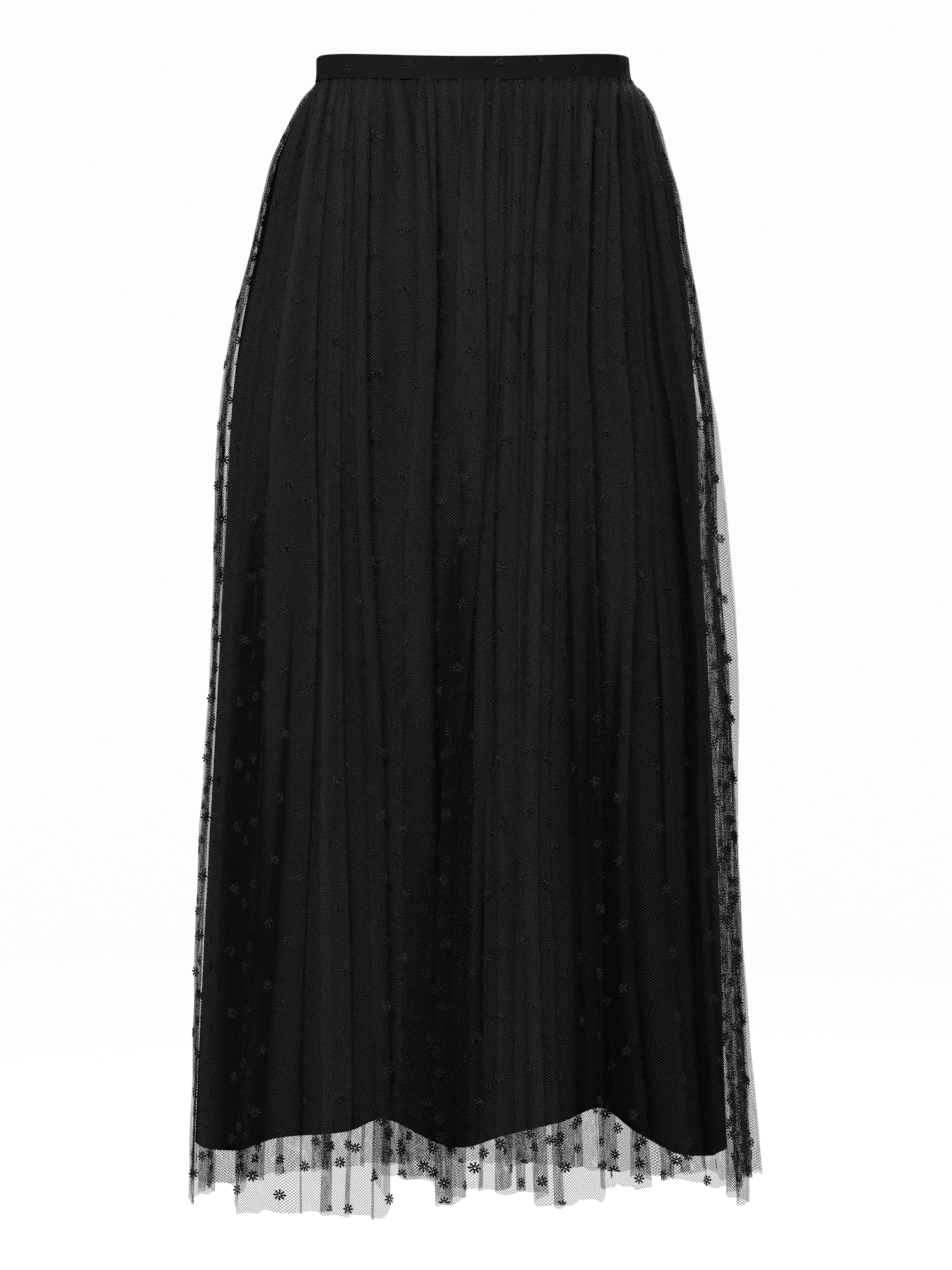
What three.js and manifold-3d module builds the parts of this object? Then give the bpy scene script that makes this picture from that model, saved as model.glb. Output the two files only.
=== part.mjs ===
// A midi skirt of embroidered tulle, gathered onto a narrow waistband over an opaque lining. It keeps the
// form of a worn skirt with nobody in it, so it is open at the waist and at the hem.
// Millimetres, +Z up, the front faces -Y, and the wearer's right side is at -X. The origin is the middle
// of the waist opening, at half the height of the waistband's side seams.
import * as THREE from "three";
import { mergeVertices } from "three/addons/utils/BufferGeometryUtils.js";
import Module from "manifold-3d";

const wasm = await Module();
wasm.setup();

// Driving dimensions
const BAND_HEIGHT = 19.5;
const BAND_WALL = 4; // folded cloth, its stiffening and the tulle laid over it
const BAND_EDGE = 1.2; // rounding of the folded top edge
const BAND_BELLY = 0.3; // how far the band's face swells between its edges
const FRONT_DIP = 10.3; // how far the waistline falls from the side seams to the front
const DIP_ENDS = 240; // how far down the dip has died out
const SEAM_GAP = 0.3; // between pieces that are sewn together
const TULLE_WALL = 1.5;
const LINING_WALL = 1.2;
const STEEPEST = 0.5; // least cosine of a fold's slope that the wall's depth is corrected for

// Counts
const LINING_COLUMNS = 18; // for each quarter turn
const BAND_COLUMNS = 16; // for each quarter turn
const BACK_STRETCHES = 16; // between the main folds of the back

const WAIST_Z = BAND_HEIGHT / 2; // the waistline at the side seams
const QUARTER = Math.PI / 2;

// How far each section of the tulle reaches from the middle, and how far below the waistline it lies.
const TULLE_SECTIONS = [
  { down: 0, right: 122.5, left: 121, front: 84, back: 88 },
  { down: 19.5, right: 124.8, left: 123.2, front: 86, back: 90 },
  { down: 33, right: 136.5, left: 135.7, front: 95, back: 101 },
  { down: 56, right: 149, left: 145, front: 104, back: 113 },
  { down: 80, right: 160, left: 151.3, front: 111, back: 122 },
  { down: 103, right: 166, left: 158.3, front: 116, back: 129 },
  { down: 150, right: 176.3, left: 166, front: 124, back: 139 },
  { down: 197, right: 188, left: 174.7, front: 129, back: 145 },
  { down: 243, right: 195.8, left: 181, front: 133, back: 150 },
  { down: 290, right: 200.5, left: 190.3, front: 137, back: 153 },
  { down: 384, right: 204.4, left: 199.7, front: 144, back: 158 },
  { down: 477, right: 207.5, left: 206.7, front: 152, back: 163 },
  { down: 618, right: 213.7, left: 207.5, front: 162, back: 170 },
  { down: 758, right: 220, left: 216, front: 172, back: 178 },
  { down: 880, right: 224.6, left: 227, front: 180, back: 185 },
];

// How far inside the tulle's sections the lining lies.
const LINING_INSET = [
  { down: 19.8, right: 3.9, left: 3.9, front: 3.9, back: 3.9 },
  { down: 28, right: 6.4, left: 6.4, front: 6.4, back: 6.4 },
  { down: 50, right: 8, left: 8, front: 8, back: 8 },
  { down: 140, right: 7.4, left: 7.4, front: 7.8, back: 7.8 },
  { down: 220, right: 8.2, left: 9.5, front: 9, back: 9 },
  { down: 330, right: 11, left: 20, front: 13, back: 13 },
  { down: 470, right: 10.5, left: 26, front: 16, back: 16 },
  { down: 640, right: 9.5, left: 26, front: 18.5, back: 17.5 },
  { down: 850, right: 10.5, left: 32, front: 20, back: 18 },
];

// Slow waves that the lining and the tulle share, at the hem, by degrees round from the front.
const LOBES = [
  { degrees: -90, out: 0 },
  { degrees: -56, out: 6 },
  { degrees: -18, out: -8 },
  { degrees: -4, out: 7 },
  { degrees: 29, out: -8 },
  { degrees: 52, out: 7 },
  { degrees: 90, out: 0 },
  { degrees: 122, out: 6 },
  { degrees: 152, out: -6 },
  { degrees: 180, out: 5 },
  { degrees: 211, out: -6 },
  { degrees: 240, out: 6 },
  { degrees: 270, out: 0 },
];

// Length of the lining below the waistline, by degrees round from the front.
const LINING_LENGTH = [
  { degrees: -90, down: 842 },
  { degrees: -56, down: 840 },
  { degrees: -43, down: 827 },
  { degrees: -27, down: 820 },
  { degrees: -19, down: 810 },
  { degrees: -4, down: 828 },
  { degrees: 6, down: 820 },
  { degrees: 19, down: 812 },
  { degrees: 30, down: 803 },
  { degrees: 40, down: 824 },
  { degrees: 52, down: 842 },
  { degrees: 90, down: 846 },
  { degrees: 122, down: 834 },
  { degrees: 152, down: 822 },
  { degrees: 180, down: 832 },
  { degrees: 211, down: 820 },
  { degrees: 240, down: 834 },
  { degrees: 270, down: 842 },
];

// Main folds of the front, from the wearer's right to the left. Each row is a valley: how far it lies
// from the middle at three levels, how deep it is at the hem, how high the stretch after it stands there,
// how far down the tulle reaches, and how many small gathers that stretch takes in at the band.
const LEVELS = { top: 222, middle: 424, low: 791 };
const FRONT_FOLDS = [
  { top: -186, middle: -202, low: -216, deep: 5, crown: 2, down: 866, gathers: 2 },
  { top: -176, middle: -194, low: -204, deep: 3, crown: 3, down: 863, gathers: 2 },
  { top: -163, middle: -182.5, low: -186, deep: 6, crown: -3, down: 860, gathers: 3 },
  { top: -143.5, middle: -157.6, low: -175, deep: 8, crown: 5, down: 880, gathers: 2 },
  { top: -126, middle: -126.4, low: -134, deep: 2, crown: 5, down: 878, gathers: 2 },
  { top: -107, middle: -104.5, low: -101, deep: 2, crown: 6, down: 879, gathers: 2 },
  { top: -87.4, middle: -82.7, low: -68.6, deep: 12, crown: -2, down: 850, gathers: 4 },
  { top: -42, middle: -53.8, low: -58.5, deep: 14, crown: 3, down: 848, gathers: 2 },
  { top: -29.6, middle: -32, low: -36, deep: 2, crown: 4, down: 862, gathers: 1 },
  { top: -10.9, middle: -17.2, low: -17.9, deep: 5, crown: 4, down: 866, gathers: 2 },
  { top: 4, middle: 1.6, low: 1.6, deep: 3, crown: 3, down: 856, gathers: 2 },
  { top: 28, middle: 22.6, low: 21.8, deep: 6, crown: 3, down: 858, gathers: 3 },
  { top: 52.3, middle: 44.5, low: 49, deep: 3, crown: 4, down: 870, gathers: 1 },
  { top: 71, middle: 73.3, low: 75.7, deep: 5, crown: 3, down: 866, gathers: 2 },
  { top: 82.7, middle: 92, low: 92.8, deep: 12, crown: 2, down: 860, gathers: 3 },
  { top: 110, middle: 117, low: 140, deep: 15, crown: 4, down: 852, gathers: 4 },
  { top: 143, middle: 167, low: 180.6, deep: 12, crown: 3, down: 858, gathers: 2 },
  { top: 160, middle: 184, low: 200, deep: 4, crown: 3, down: 864, gathers: 2 },
  { top: 171.5, middle: 197, low: 213.5, deep: 6, crown: 2, down: 868, gathers: 4 },
];
const SIDE_FOLD = { deep: 3, crown: 3, down: 871, gathers: 3 };
const BACK_FOLD = { deep: 7, crown: 4, down: 888, sway: 0.045, uneven: 5, gathers: 3 };

// The share of their size at the hem that the main folds have, and the depth of the small gathers.
const FOLD_GROWTH = [
  { down: 19.8, fold: 0, gather: 1.4 },
  { down: 28, fold: 0.02, gather: 2.8 },
  { down: 50, fold: 0.06, gather: 3.6 },
  { down: 85, fold: 0.1, gather: 3 },
  { down: 140, fold: 0.16, gather: 2.2 },
  { down: 220, fold: 0.28, gather: 1.3 },
  { down: 330, fold: 0.5, gather: 0.5 },
  { down: 470, fold: 0.72, gather: 0.1 },
  { down: 640, fold: 0.86, gather: 0 },
  { down: 880, fold: 1, gather: 0 },
];
const LOBE_POWER = 1.6; // the slow waves grow with this power of the way down
const BULGE_POWER = 0.7; // a lower power makes the stretches between folds rounder and the valleys sharper

// Where the rings of points lie, as shares of the way from the seam under the band to the hem.
const TULLE_RINGS = [0, 0.01, 0.036, 0.078, 0.142, 0.238, 0.37, 0.54, 0.76, 1];
const LINING_RINGS = [0, 0.015, 0.05, 0.14, 0.27, 0.45, 0.7, 1];

// Zip slider and its pull tab, at the top of the centre-back opening
const SLIDER = { width: 6.4, footWidth: 3.6, height: 8, depth: 2.6, rounding: 1.4, fromTop: 1.2 };
const BAIL = { barRadius: 0.6, postWidth: 0.9, postHeight: 2, width: 5, past: 0.9, fromTop: 2.6 };
const PULL = { length: 12.5, width: 4.6, neckWidth: 2, thick: 1, shoulder: 4 };
const KNUCKLE = { width: 2.6, radius: 1.5 };
const PULL_CLEARANCE = { bar: 0.25, slider: 0.5 };
const ROUND_SIDES = 20;
const CURVE_STEPS = 8;

/** Value of a table's column at a place along its key, on a smooth curve through the rows. */
function valueAt(table, key, place, column) {
  const last = table.length - 1;
  if (place <= table[0][key]) return table[0][column];
  if (place >= table[last][key]) return table[last][column];
  let i = 0;
  while (table[i + 1][key] < place) i++;
  const slope = (row) => {
    const before = table[Math.max(row - 1, 0)];
    const after = table[Math.min(row + 1, last)];
    return (after[column] - before[column]) / (after[key] - before[key]);
  };
  const [from, to] = [table[i], table[i + 1]];
  const span = to[key] - from[key];
  const t = (place - from[key]) / span;
  const rest = 1 - t;
  return (
    rest * rest * (1 + 2 * t) * from[column] +
    t * t * (3 - 2 * t) * to[column] +
    t * rest * span * (rest * slope(i) - t * slope(i + 1))
  );
}

/** Half width towards the side that an angle lies on, and half depth towards its front or back. */
function reachAt(down, angle, inset) {
  const side = Math.sin(angle) < 0 ? "right" : "left";
  const face = Math.cos(angle) > 0 ? "front" : "back";
  const reach = (column) => {
    const outside = valueAt(TULLE_SECTIONS, "down", down, column);
    return inset ? outside - valueAt(inset, "down", down, column) : outside;
  };
  return { wide: reach(side), deep: reach(face) };
}

/** Point of the skirt at an angle round from the front, moved out from its section by an offset. */
function skirtPoint(down, angle, offset, inset) {
  const { wide, deep } = reachAt(down, angle, inset);
  const along = new THREE.Vector2(deep * Math.sin(angle), -wide * Math.cos(angle)).normalize();
  const dipLeft = Math.max(0, 1 - down / DIP_ENDS);
  const dip = Math.cos(angle) > 0 ? FRONT_DIP * Math.cos(angle) ** 2 * dipLeft : 0;
  return new THREE.Vector3(
    wide * Math.sin(angle) + along.x * offset,
    -deep * Math.cos(angle) + along.y * offset,
    WAIST_Z - down - dip,
  );
}

/** Slow waves shared by the lining and the tulle. */
function lobe(down, angle) {
  const share = Math.min(down / TULLE_SECTIONS[TULLE_SECTIONS.length - 1].down, 1);
  return valueAt(LOBES, "degrees", THREE.MathUtils.radToDeg(angle), "out") * share ** LOBE_POWER;
}

/** A front fold with an angle for each of the three levels, from how far it lies from the middle there. */
function frontFold(row) {
  const angles = {};
  for (const [level, down] of Object.entries(LEVELS)) {
    const { wide } = reachAt(down, Math.sign(row[level]) * QUARTER);
    angles[level] = Math.asin(row[level] / wide);
  }
  return { ...row, ...angles };
}

/** A fold of the back, spaced evenly with a sway that looks uneven but is always the same. */
function backFold(number) {
  const sway = (turn) => Math.sin(number * turn);
  const angle = QUARTER + (Math.PI * number) / BACK_STRETCHES;
  const shift = number === BACK_STRETCHES / 2 ? 0 : BACK_FOLD.sway;
  return {
    top: angle + shift * sway(7.3),
    middle: angle + shift * sway(5.1),
    low: angle + shift * sway(3.7),
    deep: BACK_FOLD.deep + BACK_FOLD.uneven * sway(2.9),
    crown: BACK_FOLD.crown + 0.4 * BACK_FOLD.uneven * sway(4.3),
    down: BACK_FOLD.down + BACK_FOLD.uneven * sway(6.1),
    gathers: BACK_FOLD.gathers,
  };
}

/** A fold on a side seam, where the angle is the same at every level. */
function sideFold(angle) {
  return { ...SIDE_FOLD, top: angle, middle: angle, low: angle };
}

// All main folds, once round from the wearer's right side seam and back to it.
const backFolds = Array.from({ length: BACK_STRETCHES - 1 }, (_, i) => backFold(i + 1));
const FOLDS = [
  sideFold(-QUARTER),
  ...FRONT_FOLDS.map(frontFold),
  sideFold(QUARTER),
  ...backFolds,
  sideFold(3 * QUARTER),
];
const FRONT_STRETCHES = FRONT_FOLDS.length + 1;
const CENTRE_BACK_FOLD = FRONT_STRETCHES + BACK_STRETCHES / 2;

/** Angles that split the seam under the band evenly by length, between two places round it. */
function evenAngles(from, to, count) {
  const steps = 8 * count;
  const walked = [{ length: 0, angle: from }];
  for (let i = 1; i <= steps; i++) {
    const angle = from + ((to - from) * i) / steps;
    const before = walked[i - 1];
    const [a, b] = [skirtPoint(BAND_HEIGHT, before.angle, 0), skirtPoint(BAND_HEIGHT, angle, 0)];
    walked.push({ length: before.length + a.distanceTo(b), angle });
  }
  const part = walked[steps].length / count;
  return Array.from({ length: count + 1 }, (_, i) => valueAt(walked, "length", part * i, "angle"));
}

/** Columns of the tulle between two folds, each with its share of the way from fold to fold. */
function columnsBetween(firstFold, lastFold) {
  const columns = [];
  for (let i = firstFold; i < lastFold; i++) {
    const count = 2 * FOLDS[i].gathers;
    for (let k = 0; k < count; k++) {
      columns.push({ before: FOLDS[i], after: FOLDS[i + 1], share: k / count, isValley: k % 2 === 0 });
    }
  }
  columns.push({ before: FOLDS[lastFold - 1], after: FOLDS[lastFold], share: 1, isValley: true });
  const even = evenAngles(FOLDS[firstFold].low, FOLDS[lastFold].low, columns.length - 1);
  return columns.map((column, i) => ({ ...column, start: even[i] }));
}

/** Place of a column of the tulle, a share of the way down it: its depth, its angle and its offset. */
function tullePlace({ before, after, share, isValley, start }, ring) {
  const mix = (a, b) => a + (b - a) * share;
  const top = BAND_HEIGHT + SEAM_GAP;
  const down = top + ring * (mix(before.down, after.down) - top);
  const path = [{ down: top, angle: start }];
  for (const [level, at] of Object.entries(LEVELS)) {
    path.push({ down: at, angle: mix(before[level], after[level]) });
  }
  const angle = valueAt(path, "down", down, "angle");
  const grown = valueAt(FOLD_GROWTH, "down", down, "fold");
  const bulge = Math.sin(Math.PI * share) ** BULGE_POWER;
  const fold = grown * (before.crown * bulge - mix(before.deep, after.deep) * (1 - bulge));
  const gather = isValley ? valueAt(FOLD_GROWTH, "down", down, "gather") : 0;
  return { down, angle, offset: fold - gather + lobe(down, angle) };
}

/** A closed wall between an outer and an inner grid of points, both rings of columns from the top down. */
function wall(outer, inner) {
  const [rings, columns] = [outer.length, outer[0].length];
  const points = [...outer.flat(), ...inner.flat()];
  const at = (side, ring, column) => (side * rings + ring) * columns + column;
  const faces = [];
  const quad = (a, b, c, d) => faces.push(a, b, c, a, c, d);
  for (let ring = 0; ring + 1 < rings; ring++) {
    for (let column = 0; column + 1 < columns; column++) {
      const corners = (side) => [
        at(side, ring, column),
        at(side, ring + 1, column),
        at(side, ring + 1, column + 1),
        at(side, ring, column + 1),
      ];
      quad(...corners(0));
      quad(...corners(1).reverse());
    }
    const end = columns - 1;
    quad(at(0, ring, 0), at(1, ring, 0), at(1, ring + 1, 0), at(0, ring + 1, 0));
    quad(at(0, ring, end), at(0, ring + 1, end), at(1, ring + 1, end), at(1, ring, end));
  }
  const low = rings - 1;
  for (let column = 0; column + 1 < columns; column++) {
    quad(at(0, 0, column), at(0, 0, column + 1), at(1, 0, column + 1), at(1, 0, column));
    quad(at(0, low, column), at(1, low, column), at(1, low, column + 1), at(0, low, column + 1));
  }
  const geometry = new THREE.BufferGeometry().setFromPoints(points);
  geometry.setIndex(faces);
  geometry.computeVertexNormals();
  return geometry;
}

/** Angle that half a seam gap takes at a point, so that panels end that far short of their seam. */
function halfGap(down, angle) {
  const { wide, deep } = reachAt(down, angle);
  return SEAM_GAP / 2 / Math.hypot(wide * Math.cos(angle), deep * Math.sin(angle));
}

/** A panel of tulle between two of the folds, ending half a seam gap short of each. */
function tullePanel(firstFold, lastFold) {
  const columns = columnsBetween(firstFold, lastFold);
  const last = columns.length - 1;
  const rows = TULLE_RINGS.map((ring) =>
    columns.map((column, i) => {
      const place = tullePlace(column, ring);
      const inward = i === 0 ? 1 : i === last ? -1 : 0;
      const angle = place.angle + inward * halfGap(place.down, place.angle);
      return { ...place, angle, point: skirtPoint(place.down, angle, place.offset) };
    }),
  );
  const outer = rows.map((row) => row.map(({ point }) => point));
  const inner = rows.map((row) =>
    row.map(({ down, angle, offset }, i) => {
      const [a, b] = [row[Math.max(i - 1, 0)], row[Math.min(i + 1, last)]];
      const across = Math.hypot(b.point.x - a.point.x, b.point.y - a.point.y);
      const climb = Math.abs(a.offset - offset) + Math.abs(b.offset - offset);
      const flatness = across / Math.hypot(across, climb);
      return skirtPoint(down, angle, offset - TULLE_WALL / Math.max(flatness, STEEPEST));
    }),
  );
  return wall(outer, inner);
}

/** Evenly spaced angles between two seams, ending half a gap short of each. */
function anglesBetween(from, to, perQuarter, down) {
  const count = Math.round(((to - from) / QUARTER) * perQuarter);
  return Array.from({ length: count + 1 }, (_, i) => {
    const angle = from + ((to - from) * i) / count;
    const inward = i === 0 ? 1 : i === count ? -1 : 0;
    return angle + inward * halfGap(down, angle);
  });
}

/** A panel of the lining between two seams. */
function liningPanel(from, to) {
  const top = BAND_HEIGHT + SEAM_GAP;
  const angles = anglesBetween(from, to, LINING_COLUMNS, top);
  const grid = (depth) =>
    LINING_RINGS.map((ring) =>
      angles.map((angle) => {
        const hem = valueAt(LINING_LENGTH, "degrees", THREE.MathUtils.radToDeg(angle), "down");
        const down = top + ring * (hem - top);
        return skirtPoint(down, angle, lobe(down, angle) - depth, LINING_INSET);
      }),
    );
  return wall(grid(0), grid(LINING_WALL));
}

/** A stretch of the waistband between two seams, with a rounded fold along its top edge. */
function bandPanel(from, to) {
  const face = [
    { down: 0, inward: BAND_EDGE },
    { down: BAND_EDGE * 0.3, inward: BAND_EDGE * 0.3 },
    { down: BAND_EDGE, inward: 0 },
    { down: BAND_HEIGHT / 2, inward: -BAND_BELLY },
    { down: BAND_HEIGHT, inward: 0 },
  ];
  const angles = anglesBetween(from, to, BAND_COLUMNS, 0);
  const grid = (offset) =>
    face.map((row) => angles.map((angle) => skirtPoint(row.down, angle, offset(row))));
  return wall(
    grid(({ inward }) => -inward),
    grid(({ inward }) => Math.max(inward, 0) - BAND_WALL),
  );
}

/** A solid from a closed geometry, for joining and cutting. */
function solidFrom(geometry) {
  const bare = new THREE.BufferGeometry().setAttribute("position", geometry.getAttribute("position"));
  bare.setIndex(geometry.index);
  const merged = mergeVertices(bare, 1e-4);
  return new wasm.Manifold(
    new wasm.Mesh({
      numProp: 3,
      vertProperties: merged.attributes.position.array,
      triVerts: new Uint32Array(merged.index.array),
    }),
  );
}

/** The geometry of a solid. */
function geometryFrom(solid) {
  const mesh = solid.getMesh();
  const geometry = new THREE.BufferGeometry();
  geometry.setAttribute("position", new THREE.BufferAttribute(mesh.vertProperties, 3));
  geometry.setIndex(new THREE.BufferAttribute(mesh.triVerts, 1));
  geometry.computeVertexNormals();
  return geometry;
}

// The slider lies against the outside of the band at the centre back. The pull tab hangs clear of it, from
// the bar of its bail.
const SLIDER_BACK = skirtPoint(BAND_HEIGHT / 2, Math.PI, BAND_BELLY).y + SEAM_GAP;
const SLIDER_FACE = SLIDER_BACK + SLIDER.depth;
const SLIDER_TOP = WAIST_Z - SLIDER.fromTop;
const HINGE_Y = SLIDER_FACE + PULL_CLEARANCE.slider + KNUCKLE.radius;
const HINGE_Z = SLIDER_TOP - BAIL.fromTop;

/** A round bar along X through the pull tab's hinge. */
function hingeBar(radius, length) {
  const bar = new THREE.CylinderGeometry(radius, radius, length, ROUND_SIDES).rotateZ(QUARTER);
  return solidFrom(bar.translate(0, HINGE_Y, HINGE_Z));
}

/** A flat plate from an outline seen from the back, between two depths, hung from a height. */
function plate(outline, near, far, top) {
  const options = { depth: far - near, bevelEnabled: false, curveSegments: CURVE_STEPS };
  const flat = new THREE.ExtrudeGeometry(outline, options);
  return solidFrom(flat.rotateX(QUARTER).translate(0, far, top));
}

/** The zip's slider: a rounded body that narrows to its foot, with a bail of two posts and a bar. */
function slider() {
  const { height, rounding } = SLIDER;
  const [half, foot] = [SLIDER.width / 2, SLIDER.footWidth / 2];
  const outline = new THREE.Shape();
  outline.moveTo(-foot, -height);
  outline.lineTo(foot, -height);
  outline.quadraticCurveTo(half, -height / 2, half, -rounding);
  outline.quadraticCurveTo(half, 0, half - rounding, 0);
  outline.lineTo(rounding - half, 0);
  outline.quadraticCurveTo(-half, 0, -half, -rounding);
  outline.quadraticCurveTo(-half, -height / 2, -foot, -height);
  let solid = plate(outline, SLIDER_BACK, SLIDER_FACE, SLIDER_TOP);
  const [start, end] = [(SLIDER_BACK + SLIDER_FACE) / 2, HINGE_Y + BAIL.past];
  for (const side of [-1, 1]) {
    const post = new THREE.BoxGeometry(BAIL.postWidth, end - start, BAIL.postHeight);
    post.translate((side * (BAIL.width - BAIL.postWidth)) / 2, (start + end) / 2, HINGE_Z);
    solid = solid.add(solidFrom(post));
  }
  return geometryFrom(solid.add(hingeBar(BAIL.barRadius, BAIL.width - BAIL.postWidth)));
}

/** The pull tab: a drop-shaped plate that hangs from a knuckle round the bail's bar. */
function pullTab() {
  const { length, thick, shoulder } = PULL;
  const [half, neck] = [PULL.width / 2, PULL.neckWidth / 2];
  const outline = new THREE.Shape();
  outline.moveTo(-neck, 0);
  outline.bezierCurveTo(-neck, -shoulder, -half, half + shoulder - length, -half, half - length);
  outline.absarc(0, half - length, half, Math.PI, 2 * Math.PI, false);
  outline.bezierCurveTo(half, half + shoulder - length, neck, -shoulder, neck, 0);
  const tab = plate(outline, HINGE_Y - thick / 2, HINGE_Y + thick / 2, HINGE_Z);
  const knuckle = hingeBar(KNUCKLE.radius, KNUCKLE.width);
  const hole = hingeBar(BAIL.barRadius + PULL_CLEARANCE.bar, BAIL.width);
  return geometryFrom(tab.add(knuckle).subtract(hole));
}

const BLACK_TULLE = new THREE.MeshStandardMaterial({ color: 0x1c1c1f, roughness: 0.85, metalness: 0 });
const BLACK_LINING = new THREE.MeshStandardMaterial({ color: 0x131315, roughness: 0.7, metalness: 0 });
const BLACK_BAND = new THREE.MeshStandardMaterial({ color: 0x17171a, roughness: 0.75, metalness: 0 });
const BLACK_METAL = new THREE.MeshStandardMaterial({ color: 0x202022, roughness: 0.35, metalness: 0.9 });

const skirt = new THREE.Group();

/** Adds a named piece to the skirt. */
function addPiece(name, geometry, material) {
  const mesh = new THREE.Mesh(geometry, material);
  mesh.name = name;
  skirt.add(mesh);
}

// Each layer is cut as a front and two half backs, sewn at the sides and at the centre back.
const CUTS = [
  { name: "front", from: -QUARTER, to: QUARTER, folds: [0, FRONT_STRETCHES] },
  { name: "back_left", from: QUARTER, to: 2 * QUARTER, folds: [FRONT_STRETCHES, CENTRE_BACK_FOLD] },
  { name: "back_right", from: 2 * QUARTER, to: 3 * QUARTER, folds: [CENTRE_BACK_FOLD, FOLDS.length - 1] },
];
for (const { name, from, to, folds } of CUTS) {
  addPiece(`waistband_${name}`, bandPanel(from, to), BLACK_BAND);
  addPiece(`tulle_${name}`, tullePanel(...folds), BLACK_TULLE);
  addPiece(`lining_${name}`, liningPanel(from, to), BLACK_LINING);
}
addPiece("zip_slider", slider(), BLACK_METAL);
addPiece("zip_pull", pullTab(), BLACK_METAL);

export default skirt;
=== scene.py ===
import math

import bpy
import numpy as np
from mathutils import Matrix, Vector


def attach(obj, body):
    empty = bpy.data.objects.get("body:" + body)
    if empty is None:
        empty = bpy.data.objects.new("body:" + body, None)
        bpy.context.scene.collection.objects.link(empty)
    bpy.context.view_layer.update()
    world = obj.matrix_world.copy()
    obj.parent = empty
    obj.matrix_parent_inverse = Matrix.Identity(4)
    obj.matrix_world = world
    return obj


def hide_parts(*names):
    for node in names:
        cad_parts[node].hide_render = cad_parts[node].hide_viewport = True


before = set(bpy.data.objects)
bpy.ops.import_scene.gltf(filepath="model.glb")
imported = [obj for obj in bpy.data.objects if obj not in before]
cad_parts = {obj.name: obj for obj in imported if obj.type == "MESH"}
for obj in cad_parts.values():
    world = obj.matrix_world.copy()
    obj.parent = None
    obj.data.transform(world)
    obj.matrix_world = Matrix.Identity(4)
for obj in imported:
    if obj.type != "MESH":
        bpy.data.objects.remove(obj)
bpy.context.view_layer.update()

# Camera and room
CAMERA_DISTANCE_M = 3.0
CAMERA_HEIGHT_M = -0.440
CAMERA_LENS = 109.0
FLOOR_M = -1.06
WALL_M = 6.0
WALL_HEIGHT_M = 7.0
CORNER_M = 1.5  # radius of the curve between floor and wall

# Sizes of the skirt, the same as its source's but for the lining's inset, which is closer to the photograph's here
BAND_HEIGHT = 19.5
BAND_WALL = 4.0
BAND_EDGE = 1.2  # radius of its upper edges
BAND_BELLY = 0.3
FRONT_DIP = 10.3  # how much lower the waist's front is
DIP_ENDS = 240.0
SEAM_GAP = 0.3
WAIST_Z = BAND_HEIGHT / 2
QUARTER = math.pi / 2

TULLE_SECTIONS = {
    "down": [0, 19.5, 33, 56, 80, 103, 150, 197, 243, 290, 384, 477, 618, 758, 880],
    "right": [122.5, 124.8, 136.5, 149, 160, 166, 176.3, 188, 195.8, 200.5, 204.4, 207.5, 213.7, 220, 224.6],
    "left": [121, 123.2, 135.7, 145, 151.3, 158.3, 166, 174.7, 181, 190.3, 199.7, 206.7, 207.5, 216, 227],
    "front": [84, 86, 95, 104, 111, 116, 124, 129, 133, 137, 144, 152, 162, 172, 180],
    "back": [88, 90, 101, 113, 122, 129, 139, 145, 150, 153, 158, 163, 170, 178, 185],
}
LINING_INSET = {  # how far inside the tulle's sections
    "down": [19.8, 28, 50, 140, 220, 330, 470, 640, 850],
    "right": [3.9, 6.4, 8, 7.4, 8.2, 9.5, 7, 5.5, 6.5],
    "left": [3.9, 6.4, 8, 7.4, 9.5, 21, 26, 20.5, 29],
    "front": [3.9, 6.4, 8, 7.8, 9, 13, 16, 18.5, 20],
    "back": [3.9, 6.4, 8, 7.8, 9, 13, 16, 17.5, 18],
}
LOBES = {  # slow waves that the lining and the tulle share, at the hem
    "degrees": [-90, -56, -18, -4, 29, 52, 90, 122, 152, 180, 211, 240, 270],
    "out": [0, 6, -8, 7, -8, 7, 0, 6, -6, 5, -6, 6, 0],
}
LOBE_POWER = 1.6
LOBE_DEPTH = 880.0  # where they are whole
SIDE_POWER = 6  # keeps what the hips do to the sides alone
LINING_LENGTH = {
    "degrees": [-90, -56, -43, -27, -19, -4, 6, 19, 30, 40, 52, 90, 122, 152, 180, 211, 240, 270],
    "down": [842, 840, 827, 820, 810, 828, 820, 812, 803, 824, 842, 846, 834, 822, 832, 820, 834, 842],
}

# Main folds of the tulle's front, from the wearer's right to the left, as they stand in the photograph: how far
# from the middle at three levels, how deep and how high at the hem, and how far down the cloth reaches. over is
# half the width by which the layers lap at the hem: a plus lays the stretch before it on top.
LEVELS = {"top": 222, "middle": 424, "low": 791}
FRONT_FOLDS = [
    # top, middle, low, deep, crown, down, over
    (-186, -202, -216, 5, 2, 866, 9),
    (-176, -194, -204, 3, 3, 863, -10),
    (-163, -182.5, -186, 6, -3, 860, -17),
    (-143.5, -157.6, -175, 8, 5, 880, -19),
    (-126, -126.4, -134, 2, 5, 878, 7),
    (-107, -104.5, -101, 2, 6, 879, 6),
    (-87.4, -82.7, -68.6, 12, -2, 850, 14),
    (-42, -53.8, -58.5, 14, 3, 848, -17),
    (-29.6, -32, -36, 2, 4, 862, 11),
    (-10.9, -17.2, -17.9, 5, 4, 866, -14),
    (4, 1.6, 1.6, 3, 3, 856, 10),
    (28, 22.6, 21.8, 6, 3, 858, -9),
    (52.3, 44.5, 49, 3, 4, 870, 8),
    (71, 73.3, 75.7, 5, 3, 866, -8),
    (82.7, 92, 92.8, 12, 2, 860, 13),
    (110, 117, 140, 15, 4, 852, 16),
    (143, 167, 180.6, 12, 3, 858, -14),
    (160, 184, 200, 4, 2, 864, 9),
    (171.5, 197, 213.5, 6, 1, 868, -7),
]
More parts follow.
